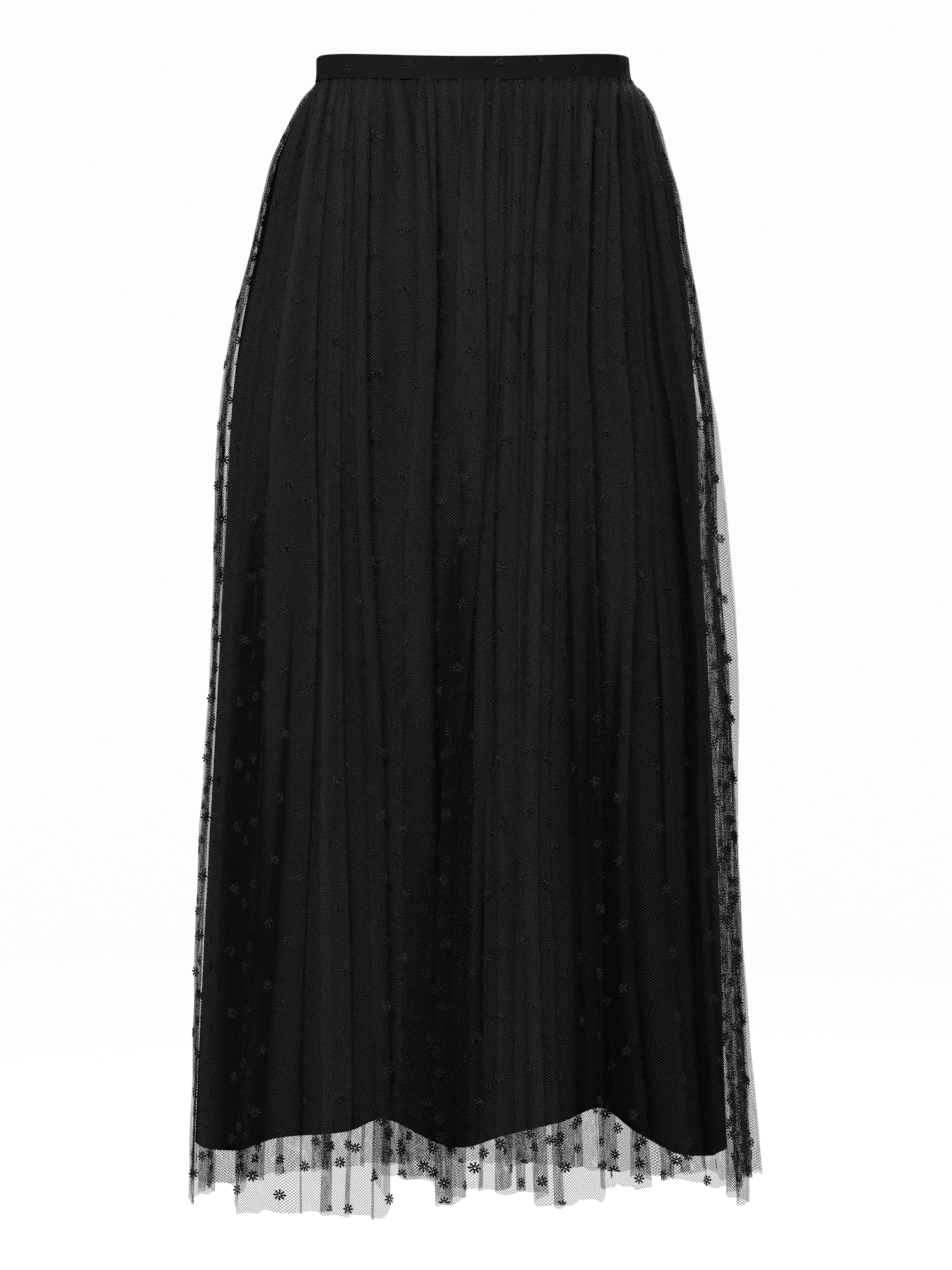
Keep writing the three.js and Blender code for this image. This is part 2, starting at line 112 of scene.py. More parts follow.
# Shorter laps between them, which only open out lower down: where they lie at the hem, and where they start.
FRONT_LAPS = [
    # low, over, start
    (-196, 10, 300),
    (-163, 9, 420),
    (-152, 12, 420),
    (-118, -6, 300),
    (-84, 8, 240),
    (-51, 18, 380),
    (-27, -22, 360),
    (-9, 22, 300),
    (10, 9, 520),
    (35, -6, 330),
    (62, 7, 420),
    (84, -9, 300),
    (108, 17, 300),
    (124, -17, 420),
    (160, 12, 380),
    (172, -10, 420),
    (190, -8, 460),
]
SIDE_FOLD = {"deep": 3, "crown": 2, "down": 871, "over": 6}
BACK_FOLD = {"deep": 7, "crown": 4, "down": 900, "sway": 0.045, "uneven": 5, "hem": 14, "over": 15}
BACK_LAP = {"over": 12, "start": 200}
BACK_STRETCHES = 16
EVEN = 0.5  # share of the cloth that goes by room along the band, the rest going by room at the hem

# The share that folds and laps have of their size at the hem, how far to each side the cloth of a lap lies
# flat, for each unit of its half width, and how deep the gathers of both sizes can be.
FOLD_GROWTH = {
    "down": [19.8, 28, 50, 85, 140, 220, 330, 470, 640, 880],
    "fold": [0, 0.02, 0.06, 0.1, 0.16, 0.28, 0.5, 0.72, 0.86, 1],
    "over": [0.1, 0.18, 0.34, 0.54, 0.72, 0.83, 0.9, 0.95, 0.98, 1],
    "spread": [0.25, 0.27, 0.29, 0.32, 0.36, 0.4, 0.43, 0.47, 0.5, 0.53],
    "small": [1.3, 2.8, 4.2, 4.8, 4.8, 4.6, 4.2, 3.8, 3.4, 3.2],
    "fine": [1, 2, 2.8, 3, 3, 2.8, 2.6, 2.4, 2.2, 2.2],
}
# Gathers of both sizes: the cloth of each, and the shortest and longest depths over which they die out.
GATHERS = {"small": (36, 60, 620), "fine": (17, 30, 330)}
GATHERS_WHOLE = 35.0  # depth down to which all are whole
GATHERS_KEPT = {"start": 60.0, "over": 200.0}  # depths over which those that reach the hem take over
GATHERS_EDGE = 6.0  # cloth beside a seam in which they flatten out
SIDE_GATHERS = {"sine": 0.93, "over": 0.05, "lasting": 0.85}  # where the sides begin, and how much lasts there
BAND_SPREAD = math.radians(22.5)  # how far round the band the folds spread, to hang upright
STRAIGHT_AT = [34, 50, 75, 110, 160]  # depths above the first level where they are held straight
LAP_CLOTH = 1.25  # cloth, either way, that a lap takes in for each unit of its half width
LAP_VALLEY = 0.9  # how far under the lap its valley lies, as a share of that cloth
LAP_STEP = 2.4  # how much of that cloth the hem takes to step from one stretch's level to the next
LAP_OPENS = 400.0  # depth over which a shorter lap opens out
LAP_LIFT = {"least": 1.0, "share": 0.2, "wide": 1.25}  # how far a lap's layers stand apart
LAP_HOLD = {"grown": 0.4, "wide": 2.5}  # how its edge is held straight below its place under the band
LAP_PAINTED_SHADE = {"wide": 1.3, "least": 0.22, "size": 5.0}  # where its inside gets painted shade
SEAM_EDGE = 25.0  # cloth beside a seam that no lap moves
CUT_WAVES = ((1.2, 9.1), (0.8, 23.7))  # sizes and turns of the cut edge's unevenness
CUT_WAVE = 75.0
VALLEY_PAINTED_SHADE = 9.0  # depth of a valley whose painted shade is full all through
CLEARANCE = 1.6  # least gap between tulle and lining
WIDEST_GAP = 30.0  # as much of the gap as counts for it
CLEAR_SOFT = 1.2  # how softly the tulle is held off

# Where a side's cloth stands out as a thin upright fold along the seam, and how far.
FIN = {
    "down": [250, 320, 390, 460, 540, 610, 740, 820, 880],
    "right": [0, 0, 2, 3, 2, 0, 2, 5, 6],
    "left": [0, 7, 12, 11, 7, 4, 7, 11, 14],
}
FIN_CLOTH = 10.0  # cloth of each half of it
FIN_SIDE = 110.0  # cloth on each side that is drawn in by as much

# Cloth as cut
CUT_WIDTH = 2900.0
FRONT_CUT = CUT_WIDTH / 2
BACK_CUT = CUT_WIDTH / 4
NET_PITCH = 1.35
NET_THREAD = 0.24
NET_SLANT = math.radians(52)
NET_DRIFT_M = 0.0022
MOTIF_COLUMN = 24.2
MOTIF_PITCH = 47.0
MOTIF_RADIUS = 4.5
MOTIF_TOP = 24.0
MOTIF_END = 920.0  # below the lowest hem
# Motifs of the tulle that covers the waistband
BAND_MOTIFS = {
    "degrees": [-78, -52, -24, 9, 24, 40, 67, 98, 121, 139, 158, 187, 204, 231, 252],
    "down": [13, 11, 8, 5, 5, 12, 8, 12, 6, 14, 9, 13, 5, 10, 6],
}


def hermite(t, span, ends, slopes):
    """A smooth curve between two rows, from its values and slopes at both ends."""
    rest = 1 - t
    straight = rest * rest * (1 + 2 * t) * ends[0] + t * t * (3 - 2 * t) * ends[1]
    return straight + t * rest * span * (rest * slopes[0] - t * slopes[1])


def smooth(xs, ys, x):
    """Values of a table's column at places along its key, on a smooth curve through the rows."""
    xs, ys = np.asarray(xs, float), np.asarray(ys, float)
    x = np.clip(x, xs[0], xs[-1])
    slope = np.empty_like(ys)
    slope[1:-1] = (ys[2:] - ys[:-2]) / (xs[2:] - xs[:-2])
    slope[0] = (ys[1] - ys[0]) / (xs[1] - xs[0])
    slope[-1] = (ys[-1] - ys[-2]) / (xs[-1] - xs[-2])
    i = np.clip(np.searchsorted(xs, x, side="right") - 1, 0, len(xs) - 2)
    span = xs[i + 1] - xs[i]
    return hermite((x - xs[i]) / span, span, (ys[i], ys[i + 1]), (slope[i], slope[i + 1]))


def column(table, key, place, name):
    return smooth(table[key], table[name], place)


def reach(down, angle, inset=None):
    """Half width and half depth of the skirt towards the quarter that each angle lies in."""

    def side(name):
        outside = column(TULLE_SECTIONS, "down", down, name)
        return outside - column(inset, "down", down, name) if inset else outside

    wide = np.where(np.sin(angle) < 0, side("right"), side("left"))
    deep = np.where(np.cos(angle) > 0, side("front"), side("back"))
    return wide, deep


def skirt_point(down, angle, offset, inset=None):
    """Points of the skirt at angles round it, moved out from their sections by an offset."""
    down, angle, offset = np.broadcast_arrays(*(np.asarray(v, float) for v in (down, angle, offset)))
    wide, deep = reach(down, angle, inset)
    across, along = deep * np.sin(angle), -wide * np.cos(angle)
    size = np.hypot(across, along)
    dip = FRONT_DIP * np.maximum(np.cos(angle), 0) ** 2 * np.maximum(0, 1 - down / DIP_ENDS)
    return np.stack(
        [
            wide * np.sin(angle) + across / size * offset,
            -deep * np.cos(angle) + along / size * offset,
            WAIST_Z - down - dip,
        ],
        axis=-1,
    )


def lobe(down, angle):
    """Offset of the slow waves that the lining and the tulle share."""
    share = np.minimum(down / LOBE_DEPTH, 1)
    return column(LOBES, "degrees", np.degrees(angle), "out") * share**LOBE_POWER


# The folds once round, each as a dictionary with its angle at every level
def fold_angle(across, down):
    """Angle of a place that the photograph shows this far from the middle, in the plane of the side seams."""
    wide, deep = reach(down, math.copysign(QUARTER, across) * 0.999)
    nearer = deep * math.sqrt(1 - min(abs(across / wide), 1) ** 2)
    return math.asin(across / wide * (1 - nearer / (1000 * CAMERA_DISTANCE_M)))


def front_fold(row):
    names = ("top", "middle", "low", "deep", "crown", "down", "over")
    fold = dict(zip(names, row))
    for level, down in LEVELS.items():
        fold[level] = fold_angle(fold[level], down)
    return fold


def back_fold(number):
    def uneven(turn):
        return math.sin(number * turn)

    angle = QUARTER + math.pi * number / BACK_STRETCHES
    shift = 0 if number == BACK_STRETCHES // 2 else BACK_FOLD["sway"]
    return {
        "top": angle + shift * uneven(7.3),
        "middle": angle + shift * uneven(5.1),
        "low": angle + shift * uneven(3.7),
        "deep": BACK_FOLD["deep"] + BACK_FOLD["uneven"] * uneven(2.9),
        "crown": BACK_FOLD["crown"] + 0.4 * BACK_FOLD["uneven"] * uneven(4.3),
        "down": BACK_FOLD["down"] + BACK_FOLD["hem"] * uneven(6.1),
        "over": BACK_FOLD["over"] * (1 if uneven(8.7) > 0 else -1) * (1 + 0.4 * uneven(1.9)),
    }


def side_fold(angle):
    return {**SIDE_FOLD, "top": angle, "middle": angle, "low": angle}


def back_laps():
    """A shorter lap in each of the back's stretches but the middle two: its angle, half width and start."""
    laps = []
    for number in range(BACK_STRETCHES):
        if number in (BACK_STRETCHES // 2 - 1, BACK_STRETCHES // 2):
            continue
        place = number + 0.5 + 0.2 * math.sin(number * 4.9)
        size = BACK_LAP["over"] * (1 + 0.35 * math.sin(number * 2.3))
        way = 1 if math.sin(number * 5.7) > 0 else -1
        start = BACK_LAP["start"] * (1 + 0.4 * math.sin(number * 3.3))
        laps.append((QUARTER + math.pi * place / BACK_STRETCHES, way * size, start))
    return laps


FOLDS = [side_fold(-QUARTER)]
FOLDS += [front_fold(row) for row in FRONT_FOLDS]
FOLDS += [side_fold(QUARTER)]
FOLDS += [back_fold(i) for i in range(1, BACK_STRETCHES)]
FOLDS += [side_fold(3 * QUARTER)]
LAPS = [(fold_angle(low, LEVELS["low"]), over, start) for low, over, start in FRONT_LAPS] + back_laps()
LEFT_SEAM = len(FRONT_FOLDS) + 1
CENTRE_BACK = LEFT_SEAM + BACK_STRETCHES // 2


def hang_straight(upper, lower, down):
    """Angles at a depth between the band and the first level, for folds straight down over the hips."""
    share = (down - BAND_HEIGHT) / (LEVELS["top"] - BAND_HEIGHT)
    above, here, below = (reach(d, lower)[0] for d in (BAND_HEIGHT, down, LEVELS["top"]))
    across = above * np.sin(upper) * (1 - share) + below * np.sin(lower) * share
    # The side seams follow the hips.
    curve = here - above * (1 - share) - below * share
    across += np.sign(np.sin(lower)) * np.abs(np.sin(lower)) ** SIDE_POWER * curve
    angle = np.arcsin(np.clip(across / here, -1, 1))
    return np.where(np.cos(lower) > 0, angle, math.pi - angle)


class TullePanel:
    """A gathered length of tulle between two of the folds, as a surface over its flat cut."""

    def __init__(self, first, last, cut, lasting):
        self.folds = FOLDS[first : last + 1]
        self.cut = cut
        self.first = first
        self.lasting = lasting  # share of the gathers' depth that reaches the hem
        low, top = (np.array([fold[level] for fold in self.folds]) for level in ("low", "top"))
        self.band = top + BAND_SPREAD * np.sin(2 * top)
        self.levels = {BAND_HEIGHT + SEAM_GAP: self.band}
        for down in STRAIGHT_AT:
            self.levels[down] = hang_straight(self.band, top, down)
        for name, down in LEVELS.items():
            self.levels[down] = np.array([fold[name] for fold in self.folds])
        fine = np.linspace(low[0], low[-1], 2001)
        walked = np.linalg.norm(np.diff(skirt_point(BAND_HEIGHT, fine, 0), axis=0), axis=1)
        seam = np.interp(self.band, fine, np.concatenate([[0], np.cumsum(walked)]) / walked.sum())
        room = (low - low[0]) / (low[-1] - low[0])
        self.at = cut * (EVEN * seam + (1 - EVEN) * room)
        # Laps as their place in the cloth, their half width and how far down they start
        self.laps = [(at, fold["over"], 0) for at, fold in zip(self.at[1:-1], self.folds[1:-1])]
        self.laps += [
            (float(np.interp(angle, low, self.at)), over, start)
            for angle, over, start in LAPS
            if low[0] < angle < low[-1]
        ]
        # A valley lies under the lap of its fold.
        self.valleys = self.at.copy()
        for k, fold in enumerate(self.folds[1:-1], 1):
            self.valleys[k] += LAP_VALLEY * LAP_CLOTH * fold["over"]
        self.valleys = np.maximum.accumulate(self.valleys)

    def between(self, u, name):
        values = [fold[name] for fold in self.folds]
        return np.interp(u, self.at, values)

    def hem(self, u):
        """How far down the cloth reaches, which changes at each lap, with a cut edge's small unevenness."""
        level = self.folds[0]["down"]
        for k, fold in enumerate(self.folds[1:-1], 1):
            step = np.clip(0.5 + (u - self.at[k]) / (LAP_STEP * LAP_CLOTH * abs(fold["over"])), 0, 1)
            level = level + (fold["down"] - self.folds[k - 1]["down"]) * step * step * (3 - 2 * step)
        for size, turn in CUT_WAVES:
            level = level + size * np.sin((u / CUT_WAVE + self.first) * turn)
        return level

    def relief(self, u):
        """How far out the cloth stands at the hem, on crowns and in valleys, and how much of it is valley, as
        painted shade that deeper valleys get in full.
        """
        i = np.clip(np.searchsorted(self.valleys, u, side="right") - 1, 0, len(self.folds) - 2)
        width = np.maximum(self.valleys[i + 1] - self.valleys[i], 1)
        bulge = np.sin(np.pi * np.clip((u - self.valleys[i]) / width, 0, 1)) ** 0.7
        crown = np.array([fold["crown"] for fold in self.folds])[i]
        deep = np.interp(u, self.valleys, [fold["deep"] for fold in self.folds])
        return crown * bulge - deep * (1 - bulge), (1 - bulge) * np.minimum(deep / VALLEY_PAINTED_SHADE, 1)

    def gathers(self, u, down):
        """Shift and offset of the gathers, which die out at depths of their own, and the painted shade of how far
        they fold in.
        """
        shift, offset, inside = np.zeros((3, *u.shape))
        edge = np.minimum(1, np.minimum(u, self.cut - u) / GATHERS_EDGE)
        aside = np.abs(np.sin(self.between(u, "low")))
        beside = np.clip((aside - SIDE_GATHERS["sine"]) / SIDE_GATHERS["over"], 0, 1)
        kept = np.maximum(SIDE_GATHERS["lasting"] * beside, self.lasting)
        kept = kept * np.clip((down - GATHERS_KEPT["start"]) / GATHERS_KEPT["over"], 0, 1)
        for name, (cloth, short, long) in GATHERS.items():
            turn = u / cloth + 2.3 * self.first
            lasting = 0.5 + 0.5 * np.sin(turn * 0.83) * np.sin(turn * 0.31 + 1)
            fade = np.exp(-np.maximum(down - GATHERS_WHOLE, 0) / (short + long * lasting**3))
            fade = np.maximum(fade, kept)
            patch = 0.62 + 0.38 * np.sin(turn * 1.7 + down / 61) * np.sin(turn * 0.9 - down / 83)
            size = edge * column(FOLD_GROWTH, "down", down, name) * fade * patch
            drift = 0.3 * np.sin(turn / 1.9) + 0.2 * np.sin(turn / 0.83 + 2)
            drift = drift + 0.12 * np.sin(down / 75 + turn / 1.3)
            wave = 2 * np.pi * (turn + drift)
            shift += size * np.sin(wave)
            offset += size * (np.cos(wave) - 1)
            # Painted shade, strongest in each gather's hollow.
            inside += 0.14 * size * (1 - np.cos(wave))
        return shift, offset, inside

    def fin(self, u, down, angle):
        """Offset of the thin upright fold along each side seam."""
        seams = ((0, self.folds[0]["low"]), (self.cut, self.folds[-1]["low"]))
        offset = np.zeros_like(angle)
        for seam, at in seams:
            if abs(math.cos(at)) > 0.1:
                continue
            size = column(FIN, "down", down, "right" if math.sin(at) < 0 else "left")
            away = np.abs(u - seam)
            offset += size * (np.exp(-((away / FIN_CLOTH) ** 2)) - np.exp(-((away / FIN_SIDE) ** 2)))
        return offset

    def place(self, u, down):
        """Angle and offset of the cloth at places of its cut, and painted shade by how far inside a fold each
        lies, up to 1.
        """
        u, down = np.broadcast_arrays(np.asarray(u, float), np.asarray(down, float))
        rows = [np.interp(u, self.at, row) for row in self.levels.values()]
        angle = self.along(list(self.levels), rows, down)
        grown = column(FOLD_GROWTH, "down", down, "fold")
        lapped, spread = (column(FOLD_GROWTH, "down", down, name) for name in ("over", "spread"))
        shift, offset, inside = self.gathers(u, down)
        relief, valley = self.relief(u)
        offset = offset + grown * relief + self.fin(u, down, angle)
        # Painted shade in the valleys under the folds.
        inside = inside + grown * valley
        edge = np.clip(np.minimum(u, self.cut - u) / SEAM_EDGE, 0, 1)
        for at, over, start in self.laps:
            begun = np.clip((down - start) / LAP_OPENS, 0, 1) ** 0.7 if start else 1.0
            size = lapped * begun
            near = (u - at) / (LAP_CLOTH * abs(over))
            # A lap's edge hangs straight down from its place under the band while the lap grows.
            held = (LAP_HOLD["grown"] * grown + spread - size) * np.exp(-((near / LAP_HOLD["wide"]) ** 2))
            shift = shift + edge * over * begun * held
            # Painted shade inside a lap, strongest at its middle and fading over a width that grows with the lap.
            thin = np.clip(LAP_PAINTED_SHADE["wide"] * size, LAP_PAINTED_SHADE["least"], 1)
            dark = np.minimum(1, abs(over) * size / LAP_PAINTED_SHADE["size"])
            inside = inside + dark * np.exp(-1.3 * (near / thin) ** 2)
            shift = shift - edge * abs(over) * size * near * np.exp((1 - near * near) / 2)
            apart = LAP_LIFT["least"] + LAP_LIFT["share"] * abs(over)
            near = near / LAP_LIFT["wide"]
            lift = math.copysign(apart, over) * size * near * np.exp((1 - near * near) / 2)
            offset = offset - edge * lift
        # The cloth wanders a little on its way down.
        shift = shift + edge * 1.8 * np.sin(down / 97 + u / 31) * np.minimum(down / 200, 1)
        crumple = 0.9 * np.sin(u / 5.7 + down / 21) * np.sin(down / 29 - u / 9.3)
        crumple = 0.5 * np.sin(down / 53 + u / 17) + crumple
        offset = offset + crumple * grown
        wide, depth = reach(down, angle)
        moved = angle + shift / np.hypot(wide * np.cos(angle), depth * np.sin(angle))
        offset = offset + lobe(down, moved)
        return moved, self.clear(down, moved, offset), np.minimum(inside, 1)

    @staticmethod
    def along(keys, rows, down):
        """Smooth curve through one row of angles for each level."""
        xs, ys = np.asarray(keys, float), np.stack([np.broadcast_to(r, down.shape) for r in rows])
        x = np.clip(down, xs[0], xs[-1])
        slope = np.empty_like(ys)
        for k in range(len(xs)):
            a, b = max(k - 1, 0), min(k + 1, len(xs) - 1)
            slope[k] = (ys[b] - ys[a]) / (xs[b] - xs[a])
        i = np.clip(np.searchsorted(xs, x, side="right") - 1, 0, len(xs) - 2)

        def pick(table, row):
            return np.take_along_axis(table, row[None], axis=0)[0]

        span = xs[i + 1] - xs[i]
        ends, slopes = ((pick(table, i), pick(table, i + 1)) for table in (ys, slope))
        return hermite((x - xs[i]) / span, span, ends, slopes)

    @staticmethod
    def clear(down, angle, offset):
        """Offsets kept off the lining, which lies inside."""
        inside, _ = reach(down, angle, LINING_INSET)
        outside, _ = reach(down, angle)
        gap = np.minimum(outside - inside, WIDEST_GAP)
        lowest = lobe(down, angle) - gap + CLEARANCE
        return lowest + np.logaddexp(0, (offset - lowest) / CLEAR_SOFT) * CLEAR_SOFT

    def point(self, u, down):
        angle, offset, _ = self.place(u, down)
        return skirt_point(down, angle, offset)


def mesh_object(name, points, faces, uv=None):
    """An object with smooth faces, from points in millimetres, with its map in metres of flat cloth."""
    mesh = bpy.data.meshes.new(name)
    points, faces = np.asarray(points, float).reshape(-1, 3) / 1000, np.asarray(faces)
    size = faces.shape[1]
    mesh.vertices.add(len(points))
    mesh.vertices.foreach_set("co", points.ravel())
    mesh.loops.add(faces.size)
    mesh.loops.foreach_set("vertex_index", faces.ravel())
    mesh.polygons.add(len(faces))
    mesh.polygons.foreach_set("loop_start", np.arange(0, faces.size, size))
    mesh.polygons.foreach_set("use_smooth", np.ones(len(faces), bool))
    mesh.update(calc_edges=True)
    if uv is not None:
        layer = mesh.uv_layers.new(name="Cut")
        layer.data.foreach_set("uv", (np.asarray(uv, float).reshape(-1, 2) / 1000)[faces.ravel()].ravel())
    mesh.validate()
    made = bpy.data.objects.new(name, mesh)
    bpy.context.collection.objects.link(made)
    return made


def grid_faces(rows, columns, start=0, flip=False):
    at = start + np.arange(rows * columns).reshape(rows, columns)
    faces = np.stack([at[:-1, :-1], at[1:, :-1], at[1:, 1:], at[:-1, 1:]], axis=-1).reshape(-1, 4)
    return faces[:, ::-1] if flip else faces


def sheet_object(name, points, uv):
    return mesh_object(name, points, grid_faces(*points.shape[:2]), uv)


def shell_object(name, outer, inner, uv):
    """A closed thin wall between two grids of points."""
    rows, columns = outer.shape[:2]
    count = rows * columns
    at = np.arange(count).reshape(rows, columns)
    faces = [grid_faces(rows, columns), grid_faces(rows, columns, count, True)]
    rims = ((at[0], 1), (at[-1], -1), (at[:, 0], -1), (at[:, -1], 1))
    for line, way in rims:
        quads = np.stack([line[:-1], line[1:], line[1:] + count, line[:-1] + count], axis=-1)
        faces.append(quads if way > 0 else quads[:, ::-1])
    points = np.concatenate([outer.reshape(-1, 3), inner.reshape(-1, 3)])
    return mesh_object(name, points, np.concatenate(faces), np.concatenate([uv.reshape(-1, 2)] * 2))


# Materials
def new_material(name):
    material = bpy.data.materials.new(name)
    material.use_nodes = True
    nodes = material.node_tree.nodes
    return material, nodes, material.node_tree.links, nodes["Principled BSDF"]


def maths(nodes, links, operation, *values):
    """A Math node with numbers or sockets as its inputs."""
    node = nodes.new("ShaderNodeMath")
    node.operation = operation
    for socket, value in zip(node.inputs, values):
        if isinstance(value, (int, float)):
            socket.default_value = value
        else:
            links.new(value, socket)
    return node.outputs[0]


def noise_ramp(nodes, links, vector, scale, detail, colors, ends=(0.0, 1.0)):
    """A noise and the tone that it gives between two colours."""
    noise = nodes.new("ShaderNodeTexNoise")
    noise.inputs["Scale"].default_value = scale
    noise.inputs["Detail"].default_value = detail
    links.new(vector, noise.inputs["Vector"])
    ramp = nodes.new("ShaderNodeValToRGB")
    for element, color, end in zip(ramp.color_ramp.elements, colors, ends):
        element.color = (*color, 1)
        element.position = end
    links.new(noise.outputs["Fac"], ramp.inputs["Fac"])
    return noise, ramp.outputs["Color"]


def thread_family(nodes, links, across, along, slant):
    """Coverage, from 0 to 1, of a family of parallel threads over a flat cut in metres."""
    run = maths(nodes, links, "MULTIPLY", along, math.cos(slant) / (NET_PITCH / 1000))
    rise = maths(nodes, links, "MULTIPLY", across, math.sin(slant) / (NET_PITCH / 1000))
    phase = maths(nodes, links, "FRACT", maths(nodes, links, "ADD", run, rise))
    middle = maths(nodes, links, "ABSOLUTE", maths(nodes, links, "SUBTRACT", phase, 0.5))
    edge = nodes.new("ShaderNodeMapRange")
    edge.interpolation_type = "SMOOTHSTEP"
    share = NET_THREAD / NET_PITCH
    edge.inputs["From Min"].default_value = share * 0.28
    edge.inputs["From Max"].default_value = share * 0.78
    edge.inputs["To Min"].default_value = 1.0
    edge.inputs["To Max"].default_value = 0.0
    links.new(middle, edge.inputs["Value"])
    return edge.outputs["Result"]


def net_pattern(nodes, links):
    """Coverage of the diamond net, with the unevenness of soft threads."""
    place = nodes.new("ShaderNodeUVMap")
    place.uv_map = "Cut"
    noise = nodes.new("ShaderNodeTexNoise")
    noise.inputs["Scale"].default_value = 38.0
    noise.inputs["Detail"].default_value = 1.0
    links.new(place.outputs["UV"], noise.inputs["Vector"])
    drift = nodes.new("ShaderNodeVectorMath")
    drift.operation = "MULTIPLY_ADD"
    links.new(noise.outputs["Color"], drift.inputs[0])
    drift.inputs[1].default_value = (NET_DRIFT_M, NET_DRIFT_M, 0.0)
    links.new(place.outputs["UV"], drift.inputs[2])
    parts = nodes.new("ShaderNodeSeparateXYZ")
    links.new(drift.outputs[0], parts.inputs[0])
    families = [
        thread_family(nodes, links, parts.outputs["X"], parts.outputs["Y"], slant)
        for slant in (NET_SLANT, -NET_SLANT)
    ]
    return maths(nodes, links, "MAXIMUM", *families)


def net_material():
    material, nodes, links, shader = new_material("black diamond net")
    cover = net_pattern(nodes, links)
    # Painted shade: the net's colour goes from 0.058 on crests to 0.010 deep inside folds, gathers and laps, by
    # the fold-shade attribute of each piece.
    inside = nodes.new("ShaderNodeAttribute")
    inside.attribute_name = "Inside"
    ramp = nodes.new("ShaderNodeValToRGB")
    ramp.color_ramp.elements[0].color = (0.058, 0.058, 0.062, 1)
    ramp.color_ramp.elements[1].color = (0.010, 0.010, 0.0105, 1)
    links.new(inside.outputs["Fac"], ramp.inputs["Fac"])
    links.new(ramp.outputs["Color"], shader.inputs["Base Color"])
    shader.inputs["Roughness"].default_value = 0.62
    shader.inputs["Specular IOR Level"].default_value = 0.04
    shader.inputs["Sheen Weight"].default_value = 0.01
    shader.inputs["Sheen Roughness"].default_value = 0.5
    links.new(cover, shader.inputs["Alpha"])
    return material


def embroidery_material():
    material, nodes, links, shader = new_material("black embroidery thread")
    shader.inputs["Roughness"].default_value = 0.55
    shader.inputs["Specular IOR Level"].default_value = 0.03
    shader.inputs["Sheen Weight"].default_value = 0.005
    place = nodes.new("ShaderNodeTexCoord")
    colors = (0.002, 0.002, 0.0022), (0.046, 0.046, 0.049)
    _, tone = noise_ramp(nodes, links, place.outputs["Object"], 900.0, 2.0, colors, (0.42, 0.6))
    links.new(tone, shader.inputs["Base Color"])
    return material


def cloth_material(name, dark, light, rough, weave, net=None):
    """Closely woven cloth: a fine plain weave as bump, a slow unevenness of tone, and a net's colour over it."""
    material, nodes, links, shader = new_material(name)
    place = nodes.new("ShaderNodeUVMap")
    place.uv_map = "Cut"
    parts = nodes.new("ShaderNodeSeparateXYZ")
    links.new(place.outputs["UV"], parts.inputs[0])
    turn = 2 * math.pi / (weave / 1000)
    phases = [maths(nodes, links, "MULTIPLY", parts.outputs[axis], turn) for axis in "XY"]
    height = maths(nodes, links, "MULTIPLY", *(maths(nodes, links, "SINE", phase) for phase in phases))
    bump = nodes.new("ShaderNodeBump")
    bump.inputs["Strength"].default_value = 0.25
    bump.inputs["Distance"].default_value = 0.0001
    links.new(height, bump.inputs["Height"])
    links.new(bump.outputs["Normal"], shader.inputs["Normal"])
    _, tone = noise_ramp(nodes, links, place.outputs["UV"], 30.0, 3.0, (dark, light), (0.35, 0.65))
    if net:
        cover = net_pattern(nodes, links)
        mix = nodes.new("ShaderNodeMixRGB")
        mix.inputs["Color2"].default_value = (*net, 1)
        links.new(cover, mix.inputs["Fac"])
        links.new(tone, mix.inputs["Color1"])
        tone = mix.outputs["Color"]
    links.new(tone, shader.inputs["Base Color"])
    shader.inputs["Roughness"].default_value = rough
    shader.inputs["Specular IOR Level"].default_value = 0.03
    shader.inputs["Sheen Weight"].default_value = 0.004
    return material


def metal_material():
    material, nodes, links, shader = new_material("black lacquered metal")
    place = nodes.new("ShaderNodeTexCoord")
    colors = (0.010, 0.010, 0.011), (0.022, 0.022, 0.024)
    noise, tone = noise_ramp(nodes, links, place.outputs["Object"], 700.0, 4.0, colors)
    links.new(tone, shader.inputs["Base Color"])
    rough = nodes.new("ShaderNodeMapRange")
    rough.inputs["To Min"].default_value = 0.25
    rough.inputs["To Max"].default_value = 0.42
    links.new(noise.outputs["Fac"], rough.inputs["Value"])
    links.new(rough.outputs["Result"], shader.inputs["Roughness"])
    shader.inputs["Metallic"].default_value = 0.6
    return material


NET = net_material()
EMBROIDERY = embroidery_material()
LINING_TONES = (0.0055, 0.0055, 0.0058), (0.0085, 0.0085, 0.0092)
LINING = cloth_material("matt black lining", *LINING_TONES, rough=0.75, weave=0.55)
BAND_TONES = (0.007, 0.007, 0.0075), (0.010, 0.010, 0.0105)
BAND = cloth_material("waistband cloth", *BAND_TONES, rough=0.7, weave=0.8, net=(0.024, 0.024, 0.026))
METAL = metal_material()


def dress(piece, material, node=None):
    piece.data.materials.clear()
    piece.data.materials.append(material)
    if node:
        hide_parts(node)
    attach(piece, "skirt")
    return piece


# Motifs
def petal_points():
    """Points of one petal of a daisy, along and across it with a raised middle, and its faces."""
    rows = [(0.14, 0.10), (0.42, 0.14), (0.78, 0.19), (1.0, 0.09)]
    points = []
    for along, half in rows:
        raised = 0.35 if along < 1 else 0.1
        points += [(along, -half, 0.0), (along, 0.0, raised), (along, half, 0.0)]
    faces = []
    for row in range(len(rows) - 1):
        for side in range(2):
            a = 3 * row + side
            faces.append((a, a + 1, a + 4, a + 3))
    return np.array(points, float), np.array(faces)


PETAL, PETAL_FACES = petal_points()
PETALS = 8
MOTIF_LIFT = 0.25  # above the cloth
MOTIF_SOFT = {"down": [150, 420], "share": [1.0, 0.3]}  # how much a motif bends with the cloth
MOTIF_STEP = 1.0  # cloth either way from which its place is turned


